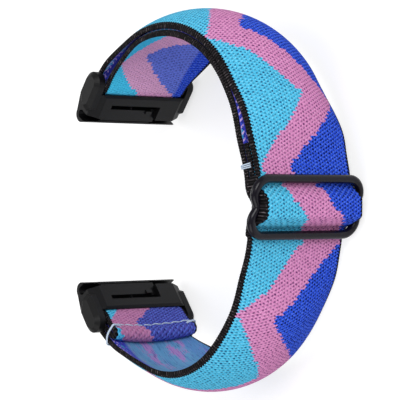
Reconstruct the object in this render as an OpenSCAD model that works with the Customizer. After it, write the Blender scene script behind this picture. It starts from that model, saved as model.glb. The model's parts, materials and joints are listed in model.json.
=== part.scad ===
// Elastic nylon watch strap: one long webbing, a three-bar buckle and two quick-release lug adapters.
// The closed strap stands on one long edge. +Z runs across the webbing, +X points from the two
// adapters to the buckle at the back of the loop, +Y points from the lower adapter to the upper one.

/* [Webbing] */
// Width of the webbing
strap_w = 26; // [20:0.5:30]
// Thickness of the webbing
strap_t = 1.5; // [1.2:0.1:1.7]
// How far the middle of the webbing stands out from its edges where it hangs free
crown_h = 3.75; // [0:0.25:4.5]
// How much the buckle draws in each edge of the webbing
edge_squeeze = 0.4; // [0.3:0.1:1.2]
// How much the adapters draw in each edge of the webbing
end_squeeze = 2; // [0.6:0.1:2.4]

/* [Loop shape] */
// Radius of the upper half next to the buckle
upper_back_r = 44.5; // [38:0.5:50]
// Arc of that stretch, in degrees
upper_back_deg = 35; // [30:1:42]
// Radius of the tight bend at the top
upper_bend_r = 24.5; // [20:0.5:28]
// Arc of the tight bend at the top, in degrees
upper_bend_deg = 78.5; // [70:0.5:84]
// Length of the straight stretch after the upper bend
upper_flat = 9; // [3:0.5:14]
// Radius of the last stretch before the upper adapter
upper_end_r = 14; // [12:1:30]
// Arc of the last stretch before the upper adapter, in degrees
upper_end_deg = 25; // [10:1:30]
// Radius of the lower half next to the buckle
lower_back_r = 40; // [36:0.5:48]
// Arc of that stretch, in degrees
lower_back_deg = 45; // [40:1:52]
// Radius of the bend at the bottom
lower_bend_r = 21; // [17:0.5:26]
// Arc of the bend at the bottom, in degrees
lower_bend_deg = 61.5; // [54:0.5:68]
// Length of the straight stretch after the lower bend
lower_flat = 10.5; // [4:0.5:15]
// Radius of the last stretch before the lower adapter
lower_end_r = 24; // [16:1:34]
// Arc of the last stretch before the lower adapter, in degrees
lower_end_deg = 22; // [12:1:34]

/* [Buckle] */
// Place of the buckle's middle bar along the strap, measured up from the rearmost point
buckle_at = -0.7; // [-6:0.1:2]
// Distance from the middle bar to each outer rail, along the strap
rail_pitch = 5.2; // [5.2:0.1:6]
// Diameter of the rods of the buckle's frame
rail_d = 1.8; // [1.5:0.1:2]
// Diameter of the buckle's middle bar
middle_bar_d = 1.4; // [1.2:0.1:1.6]
// Radius of the corners of the frame, on the rods' centre line
frame_corner_r = 3.2; // [2.2:0.1:4]
// How far the frame's sides are drawn in at the middle bar
side_pinch = 0.3; // [0:0.05:0.4]
// How far the buckle slides up or down the strap from where it sits
buckle_travel = 12; // [6:1:14]

/* [Sewn ends] */
// Length of the sewn return above the buckle
return_len = 12.5; // [11:0.5:19]
// Distance from the buckle's middle bar to the stitches above it
return_seam_at = 8.1; // [7:0.1:11]
// Length of the sewn flap at the lower adapter
flap_len = 6.8; // [6.6:0.1:10]
// Distance from the lower bar to the flap's row of stitches
flap_seam_at = 4.3; // [3:0.1:5]
// Length of the flap's end that is tucked under
tuck_len = 3.2; // [2:0.1:3.6]
// Thickness of the sewing thread
thread_d = 0.35; // [0.2:0.05:0.5]
// Distance from one stitch to the next
stitch_pitch = 2.6; // [1.6:0.1:4]

/* [Lug adapters] */
// Width of the adapter between the watch's lugs
insert_w = 25.5; // [20:0.5:30]
// Thickness of each side horn that holds the strap bar
horn_t = 2.4; // [2:0.1:3.2]
// Diameter of the strap bar
strap_bar_d = 2; // [1.6:0.1:2.4]
// Diameter of the watch's lug pin that the hook takes
lug_pin_d = 1.8; // [1.5:0.05:2]
// Distance from the strap bar to the lug pin
pin_reach = 8; // [7.6:0.1:10]
// Lean of the upper adapter away from the loop, in degrees
upper_lean = 36; // [20:1:50]
// Lean of the lower adapter away from the loop, in degrees
lower_lean = 36; // [20:1:50]
// Height of the adapter on the outer side of the strap bar
adapter_half_h = 2.8; // [2.7:0.1:3.4]
// How much higher the adapter stands on the wrist side
wrist_rise = 0.3; // [0:0.1:0.6]

/* [Latches] */
// Length of the latch across the adapter
latch_w = 12; // [9:0.5:14]
// Travel of the latch
latch_travel = 1.3; // [1.2:0.05:1.5]
// Distance from the middle of the adapter to the middle of the latch, towards the upper edge
latch_shift = 2; // [0:0.1:2.5]
// Wire of the latch spring
spring_wire = 0.16; // [0.1:0.02:0.2]
// Turns of the latch spring
spring_turns = 5; // [3:1:6]

/* [Clearances] */
// Gap between two layers of webbing, and between webbing and a bar
layer_gap = 0.1; // [0.05:0.01:0.15]
// Gap between the webbing and the rods that slide along it
slide_gap = 0.2; // [0.15:0.01:0.3]
// Gap between the webbing's edges and what stands beside them
edge_gap = 0.3; // [0.2:0.05:0.5]
// Gap between the webbing's edges and the horns
horn_gap = 0.55; // [0.3:0.05:0.8]
// Gap between the fold of the webbing and the adapter that turns round it
turn_gap = 0.3; // [0.2:0.05:0.5]
// Running gap round the latch
latch_gap = 0.08; // [0.05:0.01:0.1]
// Radial gap between the hook and the lug pin
pin_gap = 0.05; // [0.02:0.01:0.1]

/* [Hidden] */
// Finest step along the webbing
run_step = 1.7;
// Step where the webbing climbs over the middle bar
bridge_step = 0.6;
// Step of the sewn loop round the middle bar
loop_step = 1;
// Faces across the webbing
across = 6;
// Faces round a bend of webbing over a bar
fold_steps = 10;
// Faces round a rod of the buckle's frame
rod_sides = 12;
// Faces round a thread or a spring wire
thread_sides = 6;

// The loop is a chain of stretches. Each is [radius, length], and a radius of 0 is straight.
function arc_len(r, deg) = r * deg * PI / 180;
upper_chain = [
    [upper_back_r, arc_len(upper_back_r, upper_back_deg)],
    [upper_bend_r, arc_len(upper_bend_r, upper_bend_deg)],
    [0, upper_flat],
    [upper_end_r, arc_len(upper_end_r, upper_end_deg)],
];
lower_chain = [
    [lower_back_r, arc_len(lower_back_r, lower_back_deg)],
    [lower_bend_r, arc_len(lower_bend_r, lower_bend_deg)],
    [0, lower_flat],
    [lower_end_r, arc_len(lower_end_r, lower_end_deg)],
];
function sum(v, i = 0) = i >= len(v) ? 0 : v[i] + sum(v, i + 1);
upper_len = sum([for (c = upper_chain) c[1]]);
lower_len = sum([for (c = lower_chain) c[1]]);

// A place on a chain as [x, y, heading]. The heading is the turn from +Y, towards -X.
function step_along(r, d, h) =
    r == 0
    ? [-sin(h) * d, cos(h) * d, 0]
    : let (a = d / r * 180 / PI) [r * (cos(h + a) - cos(h)), r * (sin(h + a) - sin(h)), a];
function on_chain(chain, s, i = 0, p = [0, 0, 0]) =
    let (last = i == len(chain) - 1)
    let (d = last ? s : min(s, chain[i][1]))
    let (q = p + step_along(chain[i][0], d, p[2]))
    (last || s <= chain[i][1]) ? q : on_chain(chain, s - chain[i][1], i + 1, q);

// The same for the whole strap: s grows upwards from the rearmost point and is negative below it.
function spot(s) =
    s >= 0
    ? on_chain(upper_chain, s)
    : let (q = on_chain(lower_chain, -s)) [q[0], -q[1], -q[2]];
function outward(s) = let (h = spot(s)[2]) [cos(h), sin(h)];
function along(s) = let (h = spot(s)[2]) [-sin(h), cos(h)];
function at(s, off) = let (q = spot(s)) [q[0], q[1]] + off * outward(s);

// A smooth step from 0 to 1, and a curve that eases from each key [place, value] to the next.
function ease(x) = (1 - cos(180 * min(1, max(0, x)))) / 2;
function eased(keys, s, i = 0) =
    i >= len(keys) - 1 || s <= keys[i][0]
    ? keys[i][1]
    : s < keys[i + 1][0]
    ? keys[i][1] + (keys[i + 1][1] - keys[i][1]) * ease((s - keys[i][0]) / (keys[i + 1][0] - keys[i][0]))
    : eased(keys, s, i + 1);

// Places along the strap
upper_end = upper_len;
lower_end = -lower_len;
rail_over = buckle_at + rail_pitch;
rail_under = buckle_at - rail_pitch;
return_end = buckle_at + return_len;
clear_run = 1.5;
upper_fixed = return_end + buckle_travel + clear_run;
lower_fixed = rail_under - rail_d - buckle_travel - clear_run;
bridge_half = rail_pitch + rail_d / 2;

// Crown of the webbing: none at the buckle and at the adapters
crown_start = 8;
crown_full = 23;
crown_end = 14;
end_reach = 16;
squeeze_reach = 2.2;
function to_end(s) = min(upper_end - s, s - lower_end);
function crown(s) =
    crown_h
    * ease((abs(s - buckle_at) - crown_start) / (crown_full - crown_start))
    * ease(to_end(s) / crown_end);
function half_w(s) =
    strap_w / 2 - 4 * crown(s) * crown(s) / (3 * strap_w)
    - end_squeeze * ease(1 - to_end(s) / end_reach)
    - edge_squeeze * ease(squeeze_reach - abs(s - buckle_at) / (rail_pitch + rail_d));

// Distances outward from the line of the loop, on which the two layers of webbing meet
bar_loop_r = strap_bar_d / 2 + layer_gap;
middle_loop_r = middle_bar_d / 2 + layer_gap;
middle_bar_off = 2.3;
over_bar = middle_bar_off + middle_loop_r + strap_t + layer_gap;
over_double = strap_t + 2 * layer_gap;
stack_in = -0.4;
press_over = over_double - stack_in;
press_under = 0;
rail_over_off = press_over + strap_t + slide_gap + rail_d / 2;
rail_under_off = press_under + strap_t + slide_gap + rail_d / 2;
bar_top = 1.3;
rail_hold = 0.7;
press_reach = 7;
step_off = 7;
thin_out = 15;
spread_len = 18;

// Back face of the outer layer
outer_keys = [
    [rail_under - press_reach, 0],
    [rail_under + rail_hold, press_under],
    [buckle_at - bar_top, over_bar],
    [buckle_at + bar_top, over_bar],
    [rail_over - rail_hold, press_over],
    [rail_over + step_off, over_double],
    [return_end, over_double],
    [return_end + thin_out, layer_gap],
    [upper_end - spread_len / 2, layer_gap],
    [upper_end, 0],
];
function outer_off(s) = eased(outer_keys, s) + strap_t / 2;

// Middle of the returned inner layer, which parts from the outer one towards the upper bar
inner_keys = [
    [buckle_at, middle_bar_off - middle_loop_r],
    [rail_over - rail_hold, -stack_in],
    [rail_over + step_off, 0],
    [upper_end - spread_len, 0],
    [upper_end, -2 * bar_loop_r],
];
function inner_off(s) = eased(inner_keys, s) - strap_t / 2;

// Middle of the sewn return, between the inner and the outer layer
return_keys = [
    [buckle_at, middle_bar_off + middle_loop_r],
    [rail_over - rail_hold, layer_gap - stack_in],
    [rail_over + step_off, layer_gap],
];
function return_off(s) = eased(return_keys, s) + strap_t / 2;

// Middle of the flap at the lower adapter, measured from that end of the strap
flap_start = 0.1;
flap_keys = [
    [flap_start, -2 * bar_loop_r],
    [flap_len - tuck_len, -strap_t - 2 * layer_gap],
];
function flap_off(s) = eased(flap_keys, s - lower_end) - strap_t / 2;
tuck_off = -layer_gap - strap_t / 2;

// A station of the webbing: [middle, side that the face looks to, crown, half width]
function station(s, off) =
    let (e = 0.05)
    let (d = at(s + e, off(s + e)) - at(s - e, off(s - e)))
    [at(s, off(s)), [d.y, -d.x] / norm(d), crown(s) * outward(s), half_w(s)];
function run(s0, s1, off, step = run_step) =
    let (n = max(2, ceil(abs(s1 - s0) / step)))
    [for (i = [0:n]) station(s0 + (s1 - s0) * i / n, off)];
function turned(stations) = [for (q = stations) [q[0], -q[1], q[2], q[3]]];
function bend(centre, r, a0, a1, wide, bulge = [0, 0]) =
    [for (i = [0:fold_steps])
        let (a = a0 + (a1 - a0) * i / fold_steps)
        [centre + r * [cos(a), sin(a)], [cos(a), sin(a)], bulge, wide]];

// The inner stations of a bend, without the two that its neighbours already hold
function inside_of(stations) = [for (i = [1:len(stations) - 2]) stations[i]];

// Webbing through a list of stations, as one closed solid of triangles
module webbing(stations, t = strap_t) {
    n = across + 1;
    ring = 2 * n;
    points = [
        for (q = stations)
            each concat(
                [for (j = [0:across])
                    let (v = 2 * j / across - 1)
                    let (p = q[0] + q[1] * t / 2 + q[2] * (1 - v * v))
                    [p.x, p.y, v * q[3]]],
                [for (j = [across:-1:0])
                    let (v = 2 * j / across - 1)
                    let (p = q[0] - q[1] * t / 2 + q[2] * (1 - v * v))
                    [p.x, p.y, v * q[3]]])
    ];
    sides = [
        for (i = [0:len(stations) - 2], j = [0:ring - 1])
            let (a = i * ring + j, b = i * ring + (j + 1) % ring)
            each [[a, a + ring, b], [b, a + ring, b + ring]]
    ];
    top = (len(stations) - 1) * ring;
    ends = [
        for (j = [0:across - 1])
            let (a = j, b = j + 1, c = ring - 2 - j, d = ring - 1 - j)
            each [[a, b, d], [b, c, d], [top + a, top + d, top + b], [top + b, top + d, top + c]]
    ];
    faces = concat(sides, ends);
    backward = cross(stations[1][0] - stations[0][0], stations[0][1]) < 0;
    polyhedron(points, backward ? [for (f = faces) [f[2], f[1], f[0]]] : faces);
}

// A round tube through points, each with the two directions that span its ring
module tube(points, u, v, r, sides, closed = false) {
    count = len(points);
    spots = [
        for (i = [0:count - 1], j = [0:sides - 1])
            let (a = 360 * j / sides)
            points[i] + r * (cos(a) * u[i] + sin(a) * v[i])
    ];
    last = closed ? count - 1 : count - 2;
    walls = [
        for (i = [0:last], j = [0:sides - 1])
            let (k = (i + 1) % count)
            let (a = i * sides + j, b = i * sides + (j + 1) % sides)
            let (c = k * sides + j, d = k * sides + (j + 1) % sides)
            each [[a, b, c], [b, d, c]]
    ];
    caps = closed ? [] : [
        [for (j = [sides - 1:-1:0]) j],
        [for (j = [0:sides - 1]) (count - 1) * sides + j],
    ];
    polyhedron(spots, concat(walls, caps));
}

// The whole strap is centred on its box and lifted to stand on its lower edge
frame_half_w = strap_w / 2 + edge_gap + rail_d;
horn_inner = strap_w / 2 - end_squeeze + horn_gap;
adapter_half_w = horn_inner + horn_t;
stand_h = max(frame_half_w, adapter_half_w);
pin_wall = 0.85;
hook_r = lug_pin_d / 2 + pin_gap;
nose_r = hook_r + pin_wall;
upper_bar = at(upper_end, -bar_loop_r);
lower_bar = at(lower_end, -bar_loop_r);
upper_pin = upper_bar + pin_reach * [-sin(upper_lean), -cos(upper_lean)];
lower_pin = lower_bar + pin_reach * [-sin(lower_lean), cos(lower_lean)];
front_x = min(upper_pin.x, lower_pin.x) - nose_r;
back_x = at(buckle_at, over_bar + strap_t).x;
top_y = max([for (s = [0:1:upper_end]) at(s, layer_gap + strap_t + crown(s)).y]);
bottom_y = min([for (s = [lower_end:1:0]) at(s, strap_t + crown(s)).y]);
origin = [(front_x + back_x) / 2, (top_y + bottom_y) / 2, -stand_h];
module placed() {
    translate(-origin) children();
}

// Adapters are drawn from the strap bar: +X to the lug pin, +Y to the wrist, +Z across the strap
module at_upper_bar() {
    placed() translate([upper_bar.x, upper_bar.y, 0]) rotate(270 - upper_lean) children();
}
module at_lower_bar() {
    placed() translate([lower_bar.x, lower_bar.y, 0])
        mirror([0, 1, 0])
        rotate(270 - lower_lean)
        children();
}

fold_r = bar_loop_r + strap_t;
wrist_face = adapter_half_h + wrist_rise;
shell_x = 1.2;
lip = 0.6;
block_end = 4.8;
block_bulge = 0.8;
hook_round = 0.9;
horn_r = 2.5;
horn_end = 6.2;
horn_bevel = 0.9;
horn_slope = 1.9;
horn_corner = 1;
bevel_rise = 1.3;
bevel_reach = 2.4;
hook_mouth = lug_pin_d;
bar_seat = horn_t * 0.7;
latch_low = hook_r + 0.3;
latch_base_t = 0.55;
latch_block_h = 1.2;
latch_nose = pin_reach + 0.3;
latch_step = 0.5;
latch_tongue = 0.6;
stop_gap = 0.1;
notch_w = 1.4;
nub_w = 1.6;
nub_t = 0.8;
nub_rise = 0.35;
spring_r = 0.34;
spring_hole_r = spring_r + spring_wire + 0.1;
spring_hole_len = 0.75;
spring_dimple_r = 0.2;
spring_dimple = 0.7;
spring_wall = 0.3;
spring_rise = 0.75;
spring_y = latch_low + spring_rise;
spring_floor = spring_y - spring_hole_r;
fold_room = fold_r + turn_gap;
spring_seat = sqrt(fold_room * fold_room - spring_floor * spring_floor) + spring_wall;
pocket_back = spring_seat + spring_hole_len;
latch_back = pocket_back + stop_gap + latch_travel;
latch_depth = latch_nose - latch_back;

// Outline of the adapter's middle, from the fold of the strap to the hook
module insert_outline() {
    polygon([
        [shell_x, -adapter_half_h],
        [block_end, -adapter_half_h],
        [pin_reach, -nose_r],
        [pin_reach, nose_r],
        [pin_reach - hook_round, wrist_face],
        [shell_x + lip, wrist_face],
        [shell_x, wrist_face - lip],
    ]);
    translate([pin_reach, 0]) circle(r = nose_r, $fn = 64);
}

// Outline of the block that joins the insert to the horns
module block_outline() {
    polygon([
        [shell_x, -adapter_half_h],
        [block_end, -adapter_half_h],
        [block_end + block_bulge, 0],
        [block_end, wrist_face - bevel_rise],
        [shell_x, wrist_face - bevel_rise],
    ]);
}

// Outline of a horn, drawn in on every side by an inset
module horn_outline(inset) {
    half = horn_r - inset;
    end = horn_end - inset;
    circle(r = half, $fn = 32);
    polygon([
        [0, -half],
        [end - horn_slope, -half],
        [end, half - horn_corner],
        [end - horn_corner, half],
        [0, half],
    ]);
}

// One horn, drawn on the +Z side, with a bevel round its outer face
module horn() {
    translate([0, 0, horn_inner]) hull() {
        linear_extrude(horn_t - horn_bevel) horn_outline(0);
        linear_extrude(horn_t) horn_outline(horn_bevel);
    }
}

// Slope at one end of the insert's wrist face
module end_bevel() {
    translate([0, wrist_face, insert_w / 2])
        rotate([0, 90, 0])
        linear_extrude(pin_reach + nose_r + 1)
        polygon([[-1, 1], [-1, -bevel_rise], [0, -bevel_rise], [bevel_reach, 0], [bevel_reach, 1]]);
}

module adapter() {
    difference() {
        union() {
            difference() {
                linear_extrude(insert_w, center = true) insert_outline();
                end_bevel();
                mirror([0, 0, 1]) end_bevel();
            }
            linear_extrude(2 * horn_inner + horn_t, center = true) block_outline();
            horn();
            mirror([0, 0, 1]) horn();
        }
        cylinder(r = fold_room, h = 2 * horn_inner, center = true, $fn = 96);
        cylinder(d = strap_bar_d, h = 2 * (horn_inner + bar_seat), center = true, $fn = 64);
        translate([pin_reach, 0, 0]) cylinder(r = hook_r, h = insert_w + 1, center = true, $fn = 64);
        translate([pin_reach - hook_mouth / 2, 0, -insert_w])
            cube([hook_mouth, wrist_face + 1, 2 * insert_w]);
        latch_pocket();
        translate([spring_seat, spring_y, latch_shift])
            rotate([0, 90, 0])
            cylinder(r = spring_hole_r, h = spring_hole_len + latch_gap, $fn = 48);
    }
}

// Room for the latch: a wide floor that holds its tongues, and an opening above it
module latch_pocket() {
    g = latch_gap;
    half = latch_w / 2;
    floor_lo = latch_shift - half - latch_tongue - g - notch_w;
    floor_hi = latch_shift + half + latch_tongue + g;
    translate([pocket_back, latch_low - g, floor_lo])
        cube([pin_reach + nose_r, latch_base_t + 2 * g, floor_hi - floor_lo]);
    translate([pocket_back, latch_low, latch_shift - half - notch_w])
        cube([pin_reach + nose_r, wrist_face, latch_w + notch_w + g]);
}

// Sliding latch: a wide base, a block that fills the opening and a nub for a fingernail
module latch() {
    half = latch_w / 2;
    base_w = latch_w + 2 * latch_tongue + notch_w;
    difference() {
        union() {
            translate([latch_back, latch_low, latch_shift - half - latch_tongue - notch_w])
                cube([latch_depth, latch_base_t, base_w]);
            translate([latch_back, latch_low, latch_shift - half])
                cube([latch_depth - latch_step, latch_block_h, latch_w]);
            translate([latch_back, latch_low, latch_shift - half + stop_gap])
                cube([nub_t, latch_block_h + nub_rise, nub_w]);
        }
        translate([latch_back - stop_gap, spring_y, latch_shift])
            rotate([0, 90, 0])
            cylinder(r = spring_dimple_r, h = spring_dimple + stop_gap, $fn = 32);
    }
}

module latch_spring() {
    rings = spring_turns * 8;
    span = latch_back - spring_seat - 2 * spring_wire;
    turns = [for (i = [0:rings]) 360 * spring_turns * i / rings];
    centre = [spring_seat + spring_wire, spring_y, latch_shift];
    tube(
        [for (i = [0:rings])
            let (a = turns[i])
            centre + [span * i / rings, spring_r * cos(a), spring_r * sin(a)]],
        [for (a = turns) [0, cos(a), sin(a)]],
        [for (a = turns) [1, 0, 0]],
        spring_wire / 2, thread_sides);
}

module strap_bar() {
    cylinder(d = strap_bar_d, h = 2 * (horn_inner + bar_seat), center = true, $fn = 64);
}

// Frame of the buckle: a rod bent to a rounded rectangle, drawn in at the middle bar
rail_over_at = at(rail_over, rail_over_off);
rail_under_at = at(rail_under, rail_under_off);
frame_mid = (rail_over_at + rail_under_at) / 2;
frame_up = (rail_over_at - rail_under_at) / norm(rail_over_at - rail_under_at);
frame_half_h = norm(rail_over_at - rail_under_at) / 2;
function frame_corner(cz, cy, a0) =
    [for (i = [0:6])
        let (a = a0 + 15 * i)
        [cz + frame_corner_r * cos(a), cy + frame_corner_r * sin(a), a]];
function frame_side(z, y0, y1) =
    [for (i = [1:9])
        let (y = y0 + (y1 - y0) * i / 10)
        let (drawn_in = side_pinch * ease(1 - abs(y) / (frame_half_h - frame_corner_r)))
        [z - sign(z) * drawn_in, y, z > 0 ? 0 : 180]];
frame_z = frame_half_w - rail_d / 2;
frame_c = frame_corner_r;
frame_path = concat(
    frame_side(frame_z, -frame_half_h + frame_c, frame_half_h - frame_c),
    frame_corner(frame_z - frame_c, frame_half_h - frame_c, 0),
    [[0, frame_half_h, 90]],
    frame_corner(-frame_z + frame_c, frame_half_h - frame_c, 90),
    frame_side(-frame_z, frame_half_h - frame_c, -frame_half_h + frame_c),
    frame_corner(-frame_z + frame_c, -frame_half_h + frame_c, 180),
    [[0, -frame_half_h, 270]],
    frame_corner(frame_z - frame_c, -frame_half_h + frame_c, 270)
);
module buckle_frame() {
    color([0.16, 0.16, 0.18]) placed() tube(
        [for (q = frame_path)
            let (p = frame_mid + q[1] * frame_up)
            [p.x, p.y, q[0]]],
        [for (q = frame_path) [frame_up.x * sin(q[2]), frame_up.y * sin(q[2]), cos(q[2])]],
        [for (q = frame_path) [-frame_up.y, frame_up.x, 0]],
        rail_d / 2, rod_sides, closed = true);
}

middle_bar_at = at(buckle_at, middle_bar_off);
module buckle_middle_bar() {
    color([0.16, 0.16, 0.18]) placed()
        translate([middle_bar_at.x, middle_bar_at.y, 0])
        cylinder(d = middle_bar_d, h = 2 * (frame_z - side_pinch), center = true, $fn = 48);
}

// Colours of the webbing
pattern_blue = [0.16, 0.36, 0.85];
pattern_pink = [0.84, 0.56, 0.76];
pattern_sky = [0.3, 0.78, 0.93];
thread_white = [0.88, 0.9, 0.95];
adapter_black = [0.14, 0.14, 0.15];
steel = [0.6, 0.6, 0.62];

// Outer layer, from the upper adapter round the back to the lower one
outer_run = function (s) outer_off(s);
inner_run = function (s) inner_off(s);
return_run = function (s) return_off(s);
flap_run = function (s) flap_off(s);
tuck_run = function (s) tuck_off;
module strap_outer_upper() {
    color(pattern_pink) placed() webbing(run(upper_fixed, upper_end, outer_run));
}
module strap_outer_above_buckle() {
    color(pattern_blue) placed()
        webbing(run(buckle_at + bridge_half, upper_fixed, outer_run, loop_step));
}
module strap_bridge() {
    color(pattern_pink) placed()
        webbing(run(buckle_at - bridge_half, buckle_at + bridge_half, outer_run, bridge_step));
}
module strap_outer_below_buckle() {
    color(pattern_sky) placed() webbing(run(lower_fixed, buckle_at - bridge_half, outer_run));
}
module strap_outer_lower() {
    color(pattern_pink) placed() webbing(run(lower_end, lower_fixed, outer_run));
}

// Folds round the two strap bars
function heading(v) = atan2(v.y, v.x);
module strap_upper_fold() {
    a = heading(outward(upper_end));
    color(pattern_sky) placed()
        webbing(bend(upper_bar, bar_loop_r + strap_t / 2, a + 180, a, half_w(upper_end)));
}
module strap_lower_fold() {
    a = heading(outward(lower_end));
    color(pattern_sky) placed()
        webbing(bend(lower_bar, bar_loop_r + strap_t / 2, a, a - 180, half_w(lower_end)));
}

// Returned inner layer, which faces the wrist
module strap_inner_layer() {
    color(pattern_sky) placed() webbing(run(upper_fixed, upper_end, inner_run));
}
module strap_inner_above_buckle() {
    color(pattern_sky) placed() webbing(run(return_end, upper_fixed, inner_run));
}

// End of the webbing: down the inside, round the middle bar and up again, sewn to itself
module strap_buckle_loop() {
    a = heading(outward(buckle_at));
    round_bar = bend(middle_bar_at, middle_loop_r + strap_t / 2, a - 180, a, half_w(buckle_at));
    color(pattern_blue) placed() webbing(concat(
        turned(run(return_end, buckle_at, inner_run, loop_step)),
        inside_of(round_bar),
        run(buckle_at, return_end, return_run, loop_step)));
}

// Flap at the lower adapter, with its end tucked under and sewn down
module strap_lower_flap() {
    far = lower_end + flap_len - strap_t;
    c = (at(far, flap_off(far)) + at(far, tuck_off)) / 2;
    r = (tuck_off - flap_off(far)) / 2;
    a = heading(outward(far));
    roll = bend(c, r, a + 180, a, half_w(far), crown(far) * outward(far));
    color(pattern_pink) placed() webbing(concat(
        turned(run(lower_end, far, flap_run)),
        inside_of(roll),
        run(far, far - tuck_len, tuck_run)));
}

// Threads that lie across the webbing's face, on the side that face looks to
thread_lift = thread_d / 2 + layer_gap;
stitch_share = 0.8;
module stitch_row(s, off, side, count) {
    face = at(s, off + side * (strap_t / 2 + thread_lift));
    for (i = [0:count - 1])
        translate([face.x, face.y, (i - (count - 1) / 2) * stitch_pitch])
            cylinder(d = thread_d, h = stitch_pitch * stitch_share, center = true, $fn = 24);
}

// Threads that wrap one edge of the layers from the back face of the low one, and end on the edge of
// the high one or, where nothing lies over it, on its outer face
module edge_tack(s, low_run, high_run, sign_z, strands, over) {
    for (k = [0:strands - 1]) {
        q = s + (k - (strands - 1) / 2) * strand_pitch;
        wide = sign_z * (half_w(q) + thread_lift);
        inset = sign_z * (half_w(q) - tack_reach);
        rise = crown(q) * (1 - pow(inset / half_w(q), 2));
        low = low_run(q) - strap_t / 2 - thread_lift;
        high = high_run(q) + strap_t / 2 + (over ? thread_lift : -thread_lift);
        a = at(q, low);
        b = at(q, high);
        a_in = at(q, low + rise);
        b_in = at(q, high + rise);
        out = [outward(q).x, outward(q).y, 0];
        edge = [0, 0, sign_z];
        route = [[a_in.x, a_in.y, inset], [a.x, a.y, wide], [b.x, b.y, wide], [b_in.x, b_in.y, inset]];
        faces = [-out, edge - out, over ? edge + out : edge, out];
        last = over ? 3 : 2;
        tube(
            [for (i = [0:last]) route[i]],
            [for (i = [0:last]) faces[i]],
            [for (i = [0:last]) sign_z * [along(q).x, along(q).y, 0]],
            thread_d / 2, thread_sides);
    }
}
tack_reach = 2;
strand_pitch = 1.3 * thread_d;
row_margin = 1.5;
row_count = floor((strap_w - 2 * row_margin) / stitch_pitch);
seam_s = buckle_at + return_seam_at;
flap_seam_s = lower_end + flap_seam_at;
tack_shift = 0.6;

module buckle_loop_stitches() {
    color(thread_white) placed() stitch_row(seam_s, inner_off(seam_s), -1, row_count);
}
module buckle_loop_edge_tacks() {
    color(thread_white) placed() {
        edge_tack(seam_s, inner_run, return_run, 1, 3, over = false);
        edge_tack(seam_s, inner_run, return_run, -1, 3, over = false);
    }
}
module flap_stitches() {
    color(thread_white) placed() stitch_row(flap_seam_s, flap_off(flap_seam_s), -1, row_count);
}
module flap_edge_tacks() {
    color(thread_white) placed() {
        edge_tack(flap_seam_s + tack_shift, flap_run, outer_run, 1, 2, over = true);
        edge_tack(flap_seam_s + tack_shift, flap_run, outer_run, -1, 2, over = true);
    }
}

module upper_adapter() {
    color(adapter_black) at_upper_bar() adapter();
}
module upper_strap_bar() {
    color(steel) at_upper_bar() strap_bar();
}
module upper_latch() {
    color(adapter_black) at_upper_bar() latch();
}
module upper_latch_spring() {
    color(steel) at_upper_bar() latch_spring();
}
module lower_adapter() {
    color(adapter_black) at_lower_bar() adapter();
}
module lower_strap_bar() {
    color(steel) at_lower_bar() strap_bar();
}
module lower_latch() {
    color(adapter_black) at_lower_bar() latch();
}
module lower_latch_spring() {
    color(steel) at_lower_bar() latch_spring();
}

upper_adapter();
upper_strap_bar();
upper_latch();
upper_latch_spring();
lower_adapter();
lower_strap_bar();
lower_latch();
lower_latch_spring();
buckle_frame();
buckle_middle_bar();
strap_outer_upper();
strap_outer_above_buckle();
strap_bridge();
strap_outer_below_buckle();
strap_outer_lower();
strap_upper_fold();
strap_inner_layer();
strap_inner_above_buckle();
strap_buckle_loop();
strap_lower_fold();
strap_lower_flap();
buckle_loop_stitches();
buckle_loop_edge_tacks();
flap_stitches();
flap_edge_tacks();
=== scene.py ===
import json
import math

import bpy
import numpy as np
from mathutils import Matrix, Vector


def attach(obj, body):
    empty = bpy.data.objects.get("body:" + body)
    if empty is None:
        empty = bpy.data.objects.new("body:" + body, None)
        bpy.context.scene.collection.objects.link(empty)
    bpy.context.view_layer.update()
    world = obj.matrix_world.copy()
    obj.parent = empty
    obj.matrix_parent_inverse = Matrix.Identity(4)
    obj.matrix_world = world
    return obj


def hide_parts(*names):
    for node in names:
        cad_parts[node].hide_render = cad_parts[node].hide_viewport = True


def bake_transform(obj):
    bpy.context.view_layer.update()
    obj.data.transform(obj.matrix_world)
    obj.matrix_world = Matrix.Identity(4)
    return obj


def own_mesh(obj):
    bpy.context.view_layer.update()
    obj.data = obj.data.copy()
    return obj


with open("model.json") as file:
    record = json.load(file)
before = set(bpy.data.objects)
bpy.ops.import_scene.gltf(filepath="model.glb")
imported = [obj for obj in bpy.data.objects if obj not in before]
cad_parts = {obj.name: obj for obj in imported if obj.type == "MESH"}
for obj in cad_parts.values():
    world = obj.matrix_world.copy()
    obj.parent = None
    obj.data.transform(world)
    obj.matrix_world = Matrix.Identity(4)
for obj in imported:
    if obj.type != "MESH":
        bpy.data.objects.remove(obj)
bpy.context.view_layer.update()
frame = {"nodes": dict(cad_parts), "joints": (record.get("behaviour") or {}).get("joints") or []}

nodes = frame["nodes"]
MM = 0.001

# Sizes of the strap, in millimetres, as the solids have them
STRAP_W, STRAP_T, CROWN_H = 26.0, 1.5, 3.75
EDGE_SQUEEZE, END_SQUEEZE = 0.4, 2.0
RAIL_PITCH, RAIL_D, MIDDLE_D, STRAP_BAR_D = 5.2, 1.8, 1.4, 2.0
CORNER_R, SIDE_PINCH = 3.2, 0.3
GAP, SLIDE_GAP, EDGE_GAP = 0.1, 0.2, 0.3
BUCKLE_AT, RETURN_LEN = -0.7, 12.5
FLAP_LEN, FLAP_SEAM, TUCK_LEN = 6.8, 4.3, 3.2
RETURN_SEAM, TACK_SHIFT = 8.1, 0.6
ORIGIN = np.array([-25.2641, 0.817981, -15.1])

# The crown rises between these distances from the buckle, and fades within the last one of each end
CROWN_START, CROWN_FULL, CROWN_END = 8, 23, 14

# The edges are drawn in within this many half lengths of the buckle, and this close to each end
SQUEEZE_REACH, SQUEEZE_END = 2.2, 16

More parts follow.
